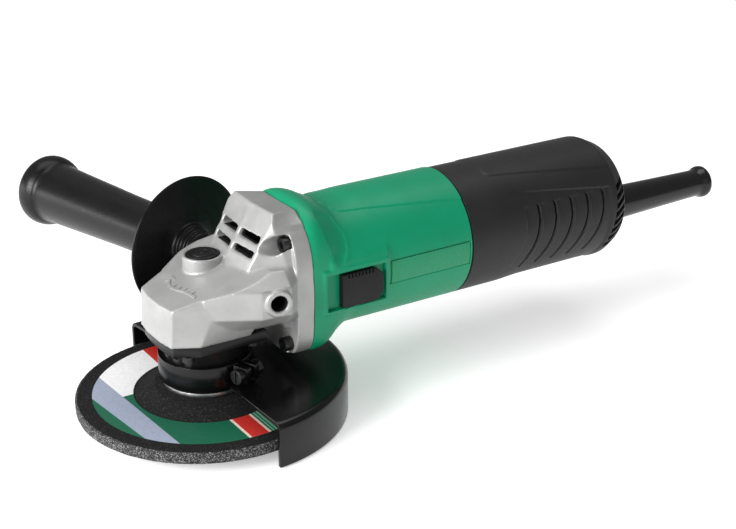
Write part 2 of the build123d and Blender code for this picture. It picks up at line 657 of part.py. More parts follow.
# ---- still parts of the motor ----
def fan_baffle():
    """Ring that leads the air through the motor and into the fan."""
    ring = ring_x((57.5, 59.0), 20.0, BARREL_R - WALL - 1.1) + ring_x((59.0, 66.0), 20.0, 21.5)
    return ring - box((57.0, 60.0), (-34.0, BAR_Y[1] + 1.6), (BAR_Z[0] - 5.0, BAR_Z[1] + 5.0))


def pole_sector(x, r_in, r_out, half_deg, up):
    """Part of a ring about the motor axis, centred above or below it."""
    outline = [(0, 0)]
    for k in range(9):
        angle = math.radians(90 - half_deg + half_deg * 2 * k / 8)
        outline.append((60 * math.cos(angle), 60 * math.sin(angle) * up))
    place = Plane(origin=(x[0], 0, MOTOR_Z), x_dir=(0, 1, 0), z_dir=(1, 0, 0))
    wedge = extrude(polygon(outline, place), x[1] - x[0])
    return ring_x(x, r_in, r_out) & wedge


def stator_core():
    core = ring_x(CORE_X, 24.2, STATOR_R)
    for up in (-1, 1):
        core += pole_sector(CORE_X, STATOR_BORE_R, 24.4, 48, up)
    core &= box(CORE_X, (-STATOR_FLAT_Y, STATOR_FLAT_Y), (MOTOR_Z - 40, MOTOR_Z + 40))
    for y, z in stator_screw_places():
        core -= rod_x(CORE_X, 2.1, y, z)
    return core


def stator_coils():
    coils = []
    for up in (-1, 1):
        saddle = pole_sector((CORE_X[0] - 6, CORE_X[1] + 6), 18.4, 23.7, 84, up)
        window = pole_sector((CORE_X[0] - 0.5, CORE_X[1] + 0.5), 10.0, 30.0, 50, up)
        coils.append(saddle - window)
    return grouped(coils)


def stator_screw_places():
    return [(side * 14.5, MOTOR_Z + up * 22.0) for side in (-1, 1) for up in (-1, 1)]


def stator_screws():
    screws = []
    for y, z in stator_screw_places():
        head = rod_x((CORE_X[0] - 2.6, CORE_X[0]), 2.4, y, z)
        shank = rod_x((CORE_X[0], CORE_X[1] + 3.0), 2.0, y, z)
        screws.append(head + shank)
    return grouped(screws)


def bearing_retainer():
    plate = ring_x((37.0, 38.8), 6.5, RETAINER_R)
    for hole in spread_x(rod_x((37.0, 38.8), 1.6, 0, MOTOR_Z + RETAINER_SCREW_RADIUS), 4, 45):
        plate -= hole
    return plate


def retainer_screws():
    z = MOTOR_Z + RETAINER_SCREW_RADIUS
    screw = rod_x((38.8, 40.6), 2.6, 0, z) + rod_x((30.5, 38.8), 1.45, 0, z)
    return grouped(spread_x(screw, 4, 45))


def brush_holders():
    """Two brass boxes that point at the commutator from above and below."""
    holders = []
    for up in (-1, 1):
        z = sorted((MOTOR_Z + up * 12.2, MOTOR_Z + up * 29.0))
        hole = sorted((MOTOR_Z + up * 12.0, MOTOR_Z + up * 28.0))
        shell = box((BRUSH_X - 6, BRUSH_X + 6), (-5, 5), z)
        holders.append(shell - box((BRUSH_X - 4.6, BRUSH_X + 4.6), (-3.6, 3.6), hole))
    return grouped(holders)


def carbon_brushes():
    brushes = []
    for up in (-1, 1):
        z = sorted((MOTOR_Z + up * (COMMUTATOR_R - 0.6), MOTOR_Z + up * 22.0))
        brush = box((BRUSH_X - 4.5, BRUSH_X + 4.5), (-3.5, 3.5), z)
        brushes.append(brush - rod_x((BRUSH_X - 10, BRUSH_X + 10), COMMUTATOR_R + FIT))
    return grouped(brushes)


def brush_springs():
    spring = coil_spring(1.3, 5.0, 2.5, 0.3)
    up = Pos(BRUSH_X, 0, MOTOR_Z + 22.4) * spring
    down = Pos(BRUSH_X, 0, MOTOR_Z - 22.4) * Rot(180, 0, 0) * spring
    return grouped([up, down])


def rear_bearing_sleeve():
    return ring_x((SPIGOT_END_X - 12.0, SPIGOT_END_X - 4.0), 11.0, 12.5)


def switch_body():
    case = box((190.0, 212.0), (-24.0, -9.0), (46.0, 64.0))
    case -= rod_x((190.0, 201.0), 1.9, -22.0 + 1.6, 54.5)
    case += box((196.0, 206.0), (-17.0, -14.0), (64.0, 67.0))
    return case


def capacitor():
    can = box((188.0, 206.0), (8.0, 19.0), (44.0, 60.0))
    return fillet(can.edges().filter_by(Axis.X), 2.0)


# ---- controls ----
def lock_button():
    x, y = BUTTON_XY
    button = rod_z((69.2, 71.8), BUTTON_R, x, y)
    dome = Pos(x, y, 71.8 - 34.6) * Sphere(35.5) & rod_z((71.8, 74.0), BUTTON_R - 0.5, x, y)
    return button + dome - rod_z((69.2, 70.8), LOCK_PIN_R, x, y)


def lock_pin():
    pin = rod_z((LOCK_PIN_END_Z, 70.8), LOCK_PIN_R, *BUTTON_XY)
    return chamfer(pin.edges().group_by(Axis.Z)[0], 0.5)


def lock_spring():
    return Pos(*BUTTON_XY, BUTTON_FLOOR_Z + 0.4) * coil_spring(1.0, 3.0, 3.3, 0.3)


def slide_knob():
    knob = box(KNOB_X, (KNOB_FACE_Y, POCKET_FLOOR_Y - 0.3), KNOB_Z)
    knob = fillet(knob.edges().filter_by(Axis.Y).group_by(Axis.X)[-1], 5.5)
    for k in range(8):
        x = KNOB_X[0] + 3.0 + 1.9 * k
        knob -= box((x, x + 0.8), (KNOB_FACE_Y - 1, KNOB_FACE_Y + 0.9), (KNOB_Z[1] - 1.8, KNOB_Z[1] + 1))
    return knob + box((64.0, 72.0), (POCKET_FLOOR_Y - 0.4, BAR_Y[0]), (53.0, 56.0))


def slide_bar():
    bar = box((61.0, 182.0), BAR_Y, BAR_Z)
    bar += box((178.0, 182.0), (BAR_Y[0], -18.6), BAR_Z)
    return bar + rod_x((182.0, 198.0), 1.6, -20.4, 54.5)


# ---- guard ----
def wheel_guard():
    edge = 3.6
    top, low = GUARD_TOP_Z, GUARD_TOP_Z - GUARD_SHEET
    skirt_in = GUARD_R - GUARD_SHEET
    outer_corner, inner_corner = [], []
    for k in range(7):
        angle = math.radians(90 - 15 * k)
        c, s = math.cos(angle), math.sin(angle)
        outer_corner.append((GUARD_R - edge + edge * c, top - edge + edge * s))
        inner = edge - GUARD_SHEET
        inner_corner.append((GUARD_R - edge + inner * c, top - edge + inner * s))
    profile = [(COLLAR_R, low), (COLLAR_R, top)] + outer_corner
    profile += [(GUARD_R, GUARD_BOTTOM_Z), (skirt_in, GUARD_BOTTOM_Z)] + inner_corner[::-1]
    return turned(profile, GUARD_SWEEP).rotate(Axis.Z, GUARD_START)


def guard_collar():
    """Clamp band round the neck, with a split lug."""
    band = ring_z((GUARD_TOP_Z - GUARD_SHEET, COLLAR_TOP_Z), NECK_R + 0.1, COLLAR_R)
    lug = box((COLLAR_R - 1.6, 30.0), (-4.4, 4.4), (18.6, COLLAR_TOP_Z - 0.6))
    lug -= rod_z((10, 40), COLLAR_R - 0.4)
    gap = box((NECK_R - 1, 32.0), (-1.1, 1.1), (GUARD_TOP_Z, COLLAR_TOP_Z + 1))
    bore = Pos(26.3, 0, 22.6) * Rot(90, 0, 0) * Cylinder(2.1, 20)
    return (band + lug - gap - bore).rotate(Axis.Z, CLAMP_AZIMUTH)


def guard_clamp_screw():
    shank = Pos(26.3, 0, 22.6) * Rot(90, 0, 0) * Cylinder(2.0, 12.4)
    head = Pos(26.3, -5.7 - 0.4, 22.6) * Rot(90, 0, 0) * Cylinder(3.5, 3.4)
    hexagon = Pos(26.3, 6.0, 22.6) * Rot(90, 0, 0) * extrude(RegularPolygon(3.9, 6), 1.6, both=True)
    slot = box((25.9, 26.7), (-8.4, -6.8), (19.6, 25.6))
    return (shank + head + hexagon - slot).rotate(Axis.Z, CLAMP_AZIMUTH)


# ---- side handle ----
def handle_plane():
    """Origin at the far socket's mouth, Z out along the handle."""
    sweep_back = math.radians(SOCKET_SWEEP)
    out = Vector(-math.sin(sweep_back), math.cos(sweep_back), 0)
    return Plane(origin=(SOCKET_X, SOCKET_Y, SOCKET_Z), x_dir=(0, 0, 1), z_dir=out)


def side_handle():
    profile = [(SOCKET_THREAD_R, 0.4), (8.6, 0.4), (8.6, 3.4), (9.8, 3.8), (9.8, 6.6), (11.2, 7.0),
               (11.2, 10.4), (34.4, 11.0), (35.0, 11.8), (34.4, 13.0), (14.0, 13.8), (13.2, 16.0),
               (13.4, 30.0), (14.0, 60.0), (15.0, 90.0), (15.8, 112.0), (16.2, 119.0),
               (17.6, 120.6), (18.8, 123.2), (19.2, 126.2), (18.9, 129.2), (17.6, 131.4),
               (14.5, 132.6), (0, 133.2), (0, 25.0), (SOCKET_THREAD_R, 25.0)]
    return handle_plane() * turned(profile)


def handle_stud():
    return handle_plane() * (Pos(0, 0, 5.0) * Cylinder(SOCKET_THREAD_R - FIT, 40.0))


# ---- writing ----
spindle_seat = Pos(0, 0, 27.0)
front_seat = Pos(32.5, 0, MOTOR_Z) * Rot(0, 90, 0)
rear_seat = Pos(SPIGOT_END_X - 7.5, 0, MOTOR_Z) * Rot(0, 90, 0)
nodes = {
    "gear_head": gear_head(), "bearing_cover": bearing_cover(),
    "bearing_cover_screws": bearing_cover_screws(), "gear_head_screws": gear_head_screws(),
    "motor_housing": motor_housing(), "nameplate": nameplate(), "tail_cover": tail_cover(),
    "tail_cover_screws": tail_cover_screws(), "cord_armour": cord_armour(), "cord_clamp": cord_clamp(),
    "cord_clamp_screws": cord_clamp_screws(), "spindle_top_bush": ring_z((56.2, 62.4), 3.5 + FIT, 5.2),
    "bearing_retainer": bearing_retainer(), "retainer_screws": retainer_screws(),
    "fan_baffle": fan_baffle(), "stator_core": stator_core(), "stator_coils": stator_coils(),
    "stator_screws": stator_screws(), "brush_holders": brush_holders(),
    "carbon_brushes": carbon_brushes(), "brush_springs": brush_springs(),
    "rear_bearing_sleeve": rear_bearing_sleeve(), "switch_body": switch_body(), "capacitor": capacitor(),
    "lock_spring": lock_spring(), "spindle": spindle(), "ring_gear": ring_gear(), "gear_key": gear_key(),
    "gear_circlip": gear_circlip(), "inner_flange": inner_flange(), "grinding_wheel": grinding_wheel(),
    "wheel_label": wheel_label(), "wheel_bush": wheel_bush(), "lock_nut": lock_nut(),
    "armature_shaft": armature_shaft(), "pinion": pinion(), "pinion_nut": pinion_nut(),
    "armature_core": armature_core(), "armature_windings": armature_windings(), "commutator": commutator(),
    "fan": fan(), "lock_button": lock_button(), "lock_pin": lock_pin(), "slide_knob": slide_knob(),
    "slide_bar": slide_bar(), "wheel_guard": wheel_guard(), "guard_collar": guard_collar(),
    "guard_clamp_screw": guard_clamp_screw(), "side_handle": side_handle(), "handle_stud": handle_stud(),
}
bearings = {"spindle_bearing": (spindle_seat, 6.0, 16.0, 10.0),
            "front_bearing": (front_seat, SHAFT_R, 15.0, 9.0),
            "rear_bearing": (rear_seat, 4.0, 11.0, 7.0)}
for name, size in bearings.items():
    outer, inner, balls = bearing_rings(*size)
    nodes.update({name + "_outer": outer, name + "_inner": inner, name + "_balls": balls})

os.makedirs("parts", exist_ok=True)
for name, shape in nodes.items():
    export_step(shape, "parts/" + name + ".step")
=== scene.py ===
import json
import math

import bmesh
import bpy
import numpy as np
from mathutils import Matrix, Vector


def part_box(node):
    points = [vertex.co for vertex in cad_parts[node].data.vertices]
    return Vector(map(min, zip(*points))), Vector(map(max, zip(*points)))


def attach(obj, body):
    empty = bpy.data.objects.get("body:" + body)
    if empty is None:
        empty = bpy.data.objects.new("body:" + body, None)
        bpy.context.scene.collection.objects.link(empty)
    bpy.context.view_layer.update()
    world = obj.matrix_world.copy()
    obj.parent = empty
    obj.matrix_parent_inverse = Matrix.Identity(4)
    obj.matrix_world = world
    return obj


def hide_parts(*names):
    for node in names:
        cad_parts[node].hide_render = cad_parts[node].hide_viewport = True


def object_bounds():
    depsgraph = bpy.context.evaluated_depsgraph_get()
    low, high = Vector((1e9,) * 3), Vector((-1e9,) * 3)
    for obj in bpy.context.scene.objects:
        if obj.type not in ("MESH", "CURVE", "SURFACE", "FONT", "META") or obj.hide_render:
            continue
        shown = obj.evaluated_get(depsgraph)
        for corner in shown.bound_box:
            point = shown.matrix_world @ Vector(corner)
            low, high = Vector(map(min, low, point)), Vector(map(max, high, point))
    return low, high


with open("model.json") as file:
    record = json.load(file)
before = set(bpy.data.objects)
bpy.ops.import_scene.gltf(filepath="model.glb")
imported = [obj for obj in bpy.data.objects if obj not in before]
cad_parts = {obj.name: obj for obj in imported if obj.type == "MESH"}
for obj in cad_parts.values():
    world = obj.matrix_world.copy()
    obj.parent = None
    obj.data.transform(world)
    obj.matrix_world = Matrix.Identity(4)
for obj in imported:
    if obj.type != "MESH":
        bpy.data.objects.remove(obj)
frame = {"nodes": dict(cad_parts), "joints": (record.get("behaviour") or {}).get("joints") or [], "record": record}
cad_low, cad_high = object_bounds()
nodes = frame["nodes"]
MM = 0.001

# Measures below are in millimetres, in the frame's axes: +X along the motor to the tail,
# +Y towards the side handle, +Z up the spindle.


def reach(node):
    """Lowest and highest corner of a CAD node, in millimetres."""
    low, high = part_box(node)
    return [v / MM for v in low], [v / MM for v in high]


shaft_low, shaft_high = reach("armature_shaft")
MOTOR_Z = (shaft_low[2] + shaft_high[2]) / 2
tail_low, tail_high = reach("tail_cover")
BARREL_R = (tail_high[1] - tail_low[1]) / 2
SEAM_X, TAIL_X = tail_low[0], tail_high[0]
FLANGE_X = reach("motor_housing")[0][0]
wheel_high = reach("grinding_wheel")[1]
WHEEL_R = wheel_high[0]
label_low, label_high = reach("wheel_label")
LABEL_IN_R = 34.9
armour_low, armour_high = reach("cord_armour")
ARMOUR_Z = (armour_low[2] + armour_high[2]) / 2


# ---- small tools ----
def smooth_step(value, low, high):
    """0 below low, 1 above high, with a smooth rise between them."""
    t = np.clip((value - low) / (high - low), 0.0, 1.0)
    return t * t * (3.0 - 2.0 * t)


def window(value, low, high, edge):
    """1 between low and high, falling to 0 over edge outside them."""
    return smooth_step(value, low - edge, low) * (1.0 - smooth_step(value, high, high + edge))


def curve_through(points, count=8):
    """Catmull-Rom points through a short list of control points."""
    rows = [points[0]] + list(points) + [points[-1]]
    out = []
    for a, b, c, d in zip(rows, rows[1:], rows[2:], rows[3:]):
        for k in range(count):
            t = k / count
            out.append(tuple(0.5 * (2 * q + (r - p) * t + (2 * p - 5 * q + 4 * r - s) * t * t
                                    + (3 * q - p - 3 * r + s) * t ** 3)
                             for p, q, r, s in zip(a, b, c, d)))
    return out + [tuple(points[-1])]


def add_object(name, vertices, faces, body, material, replaced=(), crease=35.0):
    """A mesh piece from millimetre vertices, smooth but for edges sharper than crease."""
    mesh = bpy.data.meshes.new(name)
    mesh.from_pydata((np.asarray(vertices, dtype=float) * MM).tolist(), [], faces)
    mesh.validate()
    piece = bpy.data.objects.new(name, mesh)
    bpy.context.collection.objects.link(piece)
    finish_piece(piece, body, material, replaced, crease)
    return piece


def finish_piece(piece, body, material, replaced=(), crease=35.0):
    mesh = piece.data
    mesh.materials.clear()
    mesh.materials.append(material)
    mesh.polygons.foreach_set("material_index", [0] * len(mesh.polygons))
    mesh.polygons.foreach_set("use_smooth", [True] * len(mesh.polygons))
    mesh.set_sharp_from_angle(angle=math.radians(crease))
    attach(piece, body)
    if replaced:
        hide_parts(*replaced)


def lathe(name, profile, origin, axis, body, material, replaced=(), steps=96, crease=30.0):
    """Closed piece turned round an axis, from (radius, height) points in order."""
    turn = Vector(axis).to_track_quat("Z", "Y").to_matrix()
    vertices, faces = [], []
    rows = len(profile)
    for radius, height in profile:
        for k in range(steps):
            angle = 2 * math.pi * k / steps
            local = Vector((radius * math.cos(angle), radius * math.sin(angle), height))
            vertices.append(Vector(origin) + turn @ local)
    for i in range(rows):
        j = (i + 1) % rows
        for k in range(steps):
            m = (k + 1) % steps
            faces.append((i * steps + k, i * steps + m, j * steps + m, j * steps + k))
    piece = add_object(name, vertices, faces, body, material, replaced, crease)
    weld(piece, 0.004)
    return piece


def weld(piece, distance):
    work = bmesh.new()
    work.from_mesh(piece.data)
    bmesh.ops.remove_doubles(work, verts=work.verts, dist=distance * MM)
    bmesh.ops.dissolve_degenerate(work, edges=work.edges, dist=1e-7)
    bmesh.ops.recalc_face_normals(work, faces=work.faces)
    work.to_mesh(piece.data)
    work.free()


def rounded(profile, radius, steps=4):
    """The closed profile with each corner cut back to a small arc of about that radius."""
    out = []
    count = len(profile)
    for k in range(count):
        before, corner, after = (Vector(profile[(k + d) % count]) for d in (-1, 0, 1))
        if corner.x < 1e-6:
            out.append(tuple(corner))
            continue
        to_before, to_after = before - corner, after - corner
        cut = min(radius, to_before.length * 0.45, to_after.length * 0.45)
        start = corner + to_before.normalized() * cut
        end = corner + to_after.normalized() * cut
        for i in range(steps + 1):
            t = i / steps
            out.append(tuple(start * (1 - t) ** 2 + corner * 2 * t * (1 - t) + end * t * t))
    return out


def apply_modifiers(piece):
    graph = bpy.context.evaluated_depsgraph_get()
    mesh = bpy.data.meshes.new_from_object(piece.evaluated_get(graph))
    piece.modifiers.clear()
    piece.data = mesh


def copy_of(node, name):
    """A new piece with a copy of a CAD node's mesh, welded."""
    piece = bpy.data.objects.new(name, nodes[node].data.copy())
    bpy.context.collection.objects.link(piece)
    piece.data.transform(nodes[node].matrix_world)
    if piece.data.has_custom_normals:
        with bpy.context.temp_override(object=piece, active_object=piece, selected_objects=[piece]):
            bpy.ops.mesh.customdata_custom_splitnormals_clear()
    weld(piece, 0.003)
    return piece


def softened(node, body, material, bevel):
    """The CAD node again with its sharp edges rounded by a small bevel."""
    piece = copy_of(node, node + "_soft")
    mod = piece.modifiers.new("round", "BEVEL")
    mod.width = bevel * MM
    mod.segments = 2
    mod.limit_method = "ANGLE"
    mod.angle_limit = math.radians(28)
    mod.use_clamp_overlap = True
    mod.harden_normals = False
    apply_modifiers(piece)
    finish_piece(piece, body, material, (node,), 30.0)


# ---- materials ----
class Shader:
    """A procedural material: a Principled shader and short calls for its nodes."""

    def __init__(self, name, **values):
        self.material = bpy.data.materials.new(name)
        self.material.use_nodes = True
        self.tree = self.material.node_tree
        self.surface = self.tree.nodes["Principled BSDF"]
        for socket, value in values.items():
            self.surface.inputs[socket.replace("_", " ")].default_value = value
        self.place = self.tree.nodes.new("ShaderNodeTexCoord").outputs["Object"]

    def link(self, source, target):
        self.tree.links.new(source, target)

    def mapped(self, scale):
        node = self.tree.nodes.new("ShaderNodeMapping")
        node.inputs["Scale"].default_value = scale
        self.link(self.place, node.inputs["Vector"])
        return node.outputs["Vector"]

    def noise(self, scale, detail=3.0, roughness=0.5, vector=None):
        node = self.tree.nodes.new("ShaderNodeTexNoise")
        node.inputs["Scale"].default_value = scale
        node.inputs["Detail"].default_value = detail
        node.inputs["Roughness"].default_value = roughness
        self.link(vector or self.place, node.inputs["Vector"])
        return node.outputs["Fac"]

    def cells(self, scale, feature="F1", output="Distance", vector=None):
        node = self.tree.nodes.new("ShaderNodeTexVoronoi")
        node.feature = feature
        node.inputs["Scale"].default_value = scale
        self.link(vector or self.place, node.inputs["Vector"])
        return node.outputs[output]

    def ramp(self, source, stops):
        node = self.tree.nodes.new("ShaderNodeValToRGB")
        while len(node.color_ramp.elements) < len(stops):
            node.color_ramp.elements.new(0.5)
        for element, (position, value) in zip(node.color_ramp.elements, stops):
            element.position = position
            element.color = value if isinstance(value, tuple) else (value, value, value, 1)
        self.link(source, node.inputs["Fac"])
        return node.outputs["Color"]

    def mix(self, factor, a, b):
        node = self.tree.nodes.new("ShaderNodeMix")
        node.data_type = "RGBA"
        for socket, value in ((node.inputs["Factor"], factor), (node.inputs[6], a), (node.inputs[7], b)):
            if isinstance(value, (int, float, tuple)):
                socket.default_value = value
            else:
                self.link(value, socket)
        return node.outputs[2]

    def bump(self, height, strength, distance):
        node = self.tree.nodes.new("ShaderNodeBump")
        node.inputs["Strength"].default_value = strength
        node.inputs["Distance"].default_value = distance * MM
        self.link(height, node.inputs["Height"])
        self.link(node.outputs["Normal"], self.surface.inputs["Normal"])

    def color(self, source):
        self.link(source, self.surface.inputs["Base Color"])

    def rough(self, source):
        self.link(source, self.surface.inputs["Roughness"])


def grey(value):
    return (value, value, value, 1.0)


def cast_metal():
    s = Shader("cast_aluminium", Metallic=0.45, Roughness=0.4)
    cloud = s.noise(90, 4)
    s.color(s.ramp(cloud, [(0.3, (0.33, 0.333, 0.328, 1)), (0.7, (0.39, 0.393, 0.385, 1))]))
    s.rough(s.ramp(s.noise(400, 3), [(0.3, 0.36), (0.7, 0.5)]))
    s.bump(s.noise(2600, 4, 0.6), 0.25, 0.08)
    return s.material


def moulded(name, low, high, rough, grain_scale, grain, gloss=0.4):
    """Moulded plastic: slight colour drift, uneven gloss and a fine spark-eroded grain."""
    s = Shader(name, Specular_IOR_Level=gloss)
    s.color(s.ramp(s.noise(60, 3), [(0.3, low), (0.7, high)]))
    s.rough(s.ramp(s.noise(700, 3), [(0.3, rough - 0.05), (0.7, rough + 0.06)]))
    s.bump(s.noise(grain_scale, 3, 0.65), grain, 0.06)
    return s.material


def gloss_paint(name, value, rough):
    """Smooth black paint, slightly wavy."""
    s = Shader(name, Specular_IOR_Level=0.28)
    s.color(s.ramp(s.noise(50, 2), [(0.3, grey(value)), (0.7, grey(value * 1.6))]))
    s.rough(s.ramp(s.noise(500, 3), [(0.3, rough - 0.03), (0.7, rough + 0.05)]))
    s.bump(s.noise(260, 2), 0.05, 0.06)
    return s.material


def turned_steel(name, value, rough, tint=(1, 1, 1)):
    """Steel with fine rings from turning."""
    s = Shader(name, Metallic=1.0)
    low = tuple(value * 0.85 * t for t in tint) + (1.0,)
    high = tuple(value * 1.1 * t for t in tint) + (1.0,)
    s.color(s.ramp(s.noise(300, 4), [(0.35, low), (0.65, high)]))
    rings = s.noise(900, 4, vector=s.mapped((1, 1, 6)))
    s.rough(s.ramp(rings, [(0.3, rough - 0.08), (0.7, rough + 0.1)]))
    s.bump(s.noise(1500, 3, vector=s.mapped((1, 1, 4))), 0.12, 0.03)
    return s.material


def abrasive():
    """Bonded grit: dark resin with grey and pale grains and a crumbly surface."""
    s = Shader("abrasive", Roughness=0.9, Specular_IOR_Level=0.15)
    grain = s.cells(3200, output="Color")
    pick = s.tree.nodes.new("ShaderNodeSeparateColor")
    s.link(grain, pick.inputs["Color"])
    speck = s.ramp(pick.outputs["Red"], [(0.0, grey(0.006)), (0.75, grey(0.01)), (0.92, grey(0.022)),
                                         (0.99, grey(0.07))])
    s.color(s.mix(s.ramp(s.noise(200, 3), [(0.35, 0.0), (0.7, 0.5)]), speck, grey(0.011)))
    s.bump(s.cells(3200), 0.5, 0.12)
    return s.material


def worn_edge():
    """The wheel's rim, where the grit is open and paler."""
    s = Shader("abrasive_rim", Roughness=0.9, Specular_IOR_Level=0.15)
    pick = s.tree.nodes.new("ShaderNodeSeparateColor")
    s.link(s.cells(2600, output="Color"), pick.inputs["Color"])
    s.color(s.ramp(pick.outputs["Red"], [(0.0, grey(0.01)), (0.5, grey(0.035)), (0.8, grey(0.1)),
                                         (0.97, grey(0.26))]))
    s.bump(s.cells(2600), 0.8, 0.2)
    return s.material


def printed_paper(name, color):
    s = Shader(name, Roughness=0.55)
    low = tuple(c * 0.92 for c in color) + (1.0,)
    high = tuple(min(1.0, c * 1.06) for c in color) + (1.0,)
    s.color(s.ramp(s.noise(900, 4), [(0.3, low), (0.7, high)]))
    s.rough(s.ramp(s.noise(1500, 2), [(0.3, 0.45), (0.7, 0.62)]))
    s.bump(s.cells(1100), 0.25, 0.12)
    return s.material


aluminium = cast_metal()
green = moulded("housing_plastic", (0.0, 0.245, 0.115, 1), (0.0, 0.265, 0.128, 1), 0.4, 2200, 0.1, gloss=0.3)
plate_green = moulded("plate_plastic", (0.0, 0.235, 0.10, 1), (0.0, 0.25, 0.11, 1), 0.3, 1500, 0.03)
tail_black = moulded("tail_plastic", (0.011, 0.011, 0.0115, 1), (0.015, 0.015, 0.0155, 1),
                     0.45, 1700, 0.3, gloss=0.3)
control_black = moulded("control_plastic", grey(0.005), grey(0.008), 0.4, 1900, 0.12, gloss=0.2)
grip_black = moulded("handle_plastic", grey(0.003), grey(0.0045), 0.32, 900, 0.006, gloss=0.25)
inner_black = moulded("inner_plastic", grey(0.02), grey(0.03), 0.55, 1200, 0.2)
rubber = moulded("black_rubber", grey(0.004), grey(0.006), 0.2, 900, 0.006, gloss=0.4)
black_paint = gloss_paint("black_painted_metal", 0.002, 0.2)
cover_paint = gloss_paint("cover_black", 0.004, 0.34)
black_screw = turned_steel("black_screw", 0.05, 0.4)
steel = turned_steel("steel", 0.55, 0.3)
plated = turned_steel("plated_steel", 0.42, 0.33)
zinc = turned_steel("bright_screw", 0.6, 0.35)
polished = turned_steel("bearing_steel", 0.72, 0.14)
laminations = turned_steel("laminated_steel", 0.3, 0.5)
copper = turned_steel("copper_wire", 0.72, 0.35, (1.0, 0.46, 0.25))
brass = turned_steel("brass", 0.75, 0.3, (1.0, 0.8, 0.42))
bronze = turned_steel("bronze", 0.6, 0.4, (1.0, 0.7, 0.38))
carbon = moulded("carbon", grey(0.03), grey(0.045), 0.6, 900, 0.3)
amber = moulded("capacitor_plastic", (0.42, 0.3, 0.06, 1), (0.5, 0.36, 0.08, 1), 0.35, 700, 0.1)
grit = abrasive()
rim_grit = worn_edge()
# painted shade: a dark casting material for the faces inside the air duct and the handle sockets
shaded_casting = moulded("shaded_casting", grey(0.012), grey(0.02), 0.7, 900, 0.1, gloss=0.1)
label_green = printed_paper("label_paper", (0.0, 0.105, 0.052))
label_white = printed_paper("label_white", (0.8, 0.8, 0.8))
label_red = printed_paper("label_red", (0.52, 0.022, 0.016))
label_cream = printed_paper("label_cream", (0.75, 0.6, 0.5))
label_band = printed_paper("label_band", (0.3, 0.34, 0.44))
label_stripe = printed_paper("label_stripe", (0.18, 0.42, 0.3))

by_slot = {
    "cast_aluminium": aluminium, "black_painted_metal": black_paint, "housing_plastic": green,
    "plate_plastic": plate_green, "tail_plastic": tail_black, "black_rubber": rubber,
    "handle_plastic": grip_black, "control_plastic": control_black, "inner_plastic": inner_black,
    "black_screw": black_screw, "bright_screw": zinc, "steel": steel, "plated_steel": plated,
    "bearing_steel": polished, "laminated_steel": laminations, "copper_wire": copper, "brass": brass,
    "bronze": bronze, "carbon": carbon, "capacitor_plastic": amber, "abrasive": grit,
    "label_paper": label_green,
}
for row in frame["record"]["subparts"]:
    target = nodes[row["node"]]
    for place in target.material_slots:
        place.material = by_slot[row["material_slot"]]


# ---- motor housing ----
# x, half width, height above and below the motor axis, and squareness above and below
HOUSING = [(FLANGE_X, 32.0, 34.4, 35.3, 3.0, 5.3), (44.0, 32.2, 35.8, 35.6, 3.0, 5.2),
           (48.0, 32.3, 36.7, 35.6, 2.9, 4.9), (52.0, 32.3, 36.0, 34.9, 2.7, 4.1),
           (57.0, 32.2, 33.6, 33.4, 2.4, 3.0), (62.5, 32.2, 31.8, 32.6, 2.15, 2.3),
           (70.0, BARREL_R, 31.9, BARREL_R, 2.05, 2.0), (80.0, BARREL_R, BARREL_R, BARREL_R, 2.0, 2.0),
           (SEAM_X, BARREL_R, BARREL_R, BARREL_R, 2.0, 2.0)]
POCKET_X, POCKET_Z, POCKET_Y = (49.0, 80.6), (46.4, 64.0), -30.8
PAD_Y = -33.0
PLATE_X, PLATE_Z = (84.0, 131.6), (52.0, 63.9)


def monotone(xs, keys, values):
    """Smooth interpolation that doesn't overshoot."""
    keys, values = np.array(keys), np.array(values)
    slopes = np.gradient(values, keys)
    steps = np.diff(values) / np.diff(keys)
    for k in range(1, len(keys) - 1):
        if steps[k - 1] * steps[k] <= 0:
            slopes[k] = 0.0
    k = np.clip(np.searchsorted(keys, xs) - 1, 0, len(keys) - 2)
    width = keys[k + 1] - keys[k]
    t = (xs - keys[k]) / width
    return ((2 * t ** 3 - 3 * t ** 2 + 1) * values[k] + (t ** 3 - 2 * t ** 2 + t) * width * slopes[k]
            + (3 * t ** 2 - 2 * t ** 3) * values[k + 1] + (t ** 3 - t ** 2) * width * slopes[k + 1])


def section_radius(x, angle, rows):
    """Distance from the motor axis to a squared circle that changes along x."""
    keys = [row[0] for row in rows]
    half, top, bottom, top_power, bottom_power = (monotone(x, keys, [row[k] for row in rows])
                                                  for k in range(1, 6))
    c, s = np.abs(np.cos(angle)), np.sin(angle)
    tall = np.where(s > 0, top, bottom)
    power = np.where(s > 0, top_power, bottom_power)
    return ((c / half) ** power + (np.abs(s) / tall) ** power) ** (-1.0 / power)


def axis_grid(xs, count):
    angles = 2 * math.pi * np.arange(count) / count
    return np.meshgrid(np.asarray(xs), angles, indexing="ij")


def shell_piece(name, xs, count, skin, wall, body, material, replaced):
    """Closed shell round the motor axis. skin gives (x, y, z) arrays; the inside is plainer."""
    x, angle = axis_grid(xs, count)
    outer = np.stack(skin(x, angle), axis=-1)
    pick = np.unique(np.linspace(0, len(xs) - 1, 14).astype(int))[::-1]
    inner = outer[pick].copy()
    dy, dz = inner[..., 1], inner[..., 2] - MOTOR_Z
    radius = np.hypot(dy, dz)
    thin = np.minimum(radius, np.median(radius, axis=1, keepdims=True) + 1.0) - wall
    inner[..., 1] *= thin / radius
    inner[..., 2] = MOTOR_Z + dz * thin / radius
    rings = np.concatenate([outer, inner])
    rows = len(rings)
    faces = []
    for i in range(rows):
        a, b = i * count, ((i + 1) % rows) * count
        for k in range(count):
            m = (k + 1) % count
            faces.append((a + k, b + k, b + m, a + m))
    return add_object(name, rings.reshape(-1, 3), faces, body, material, replaced, 32.0)


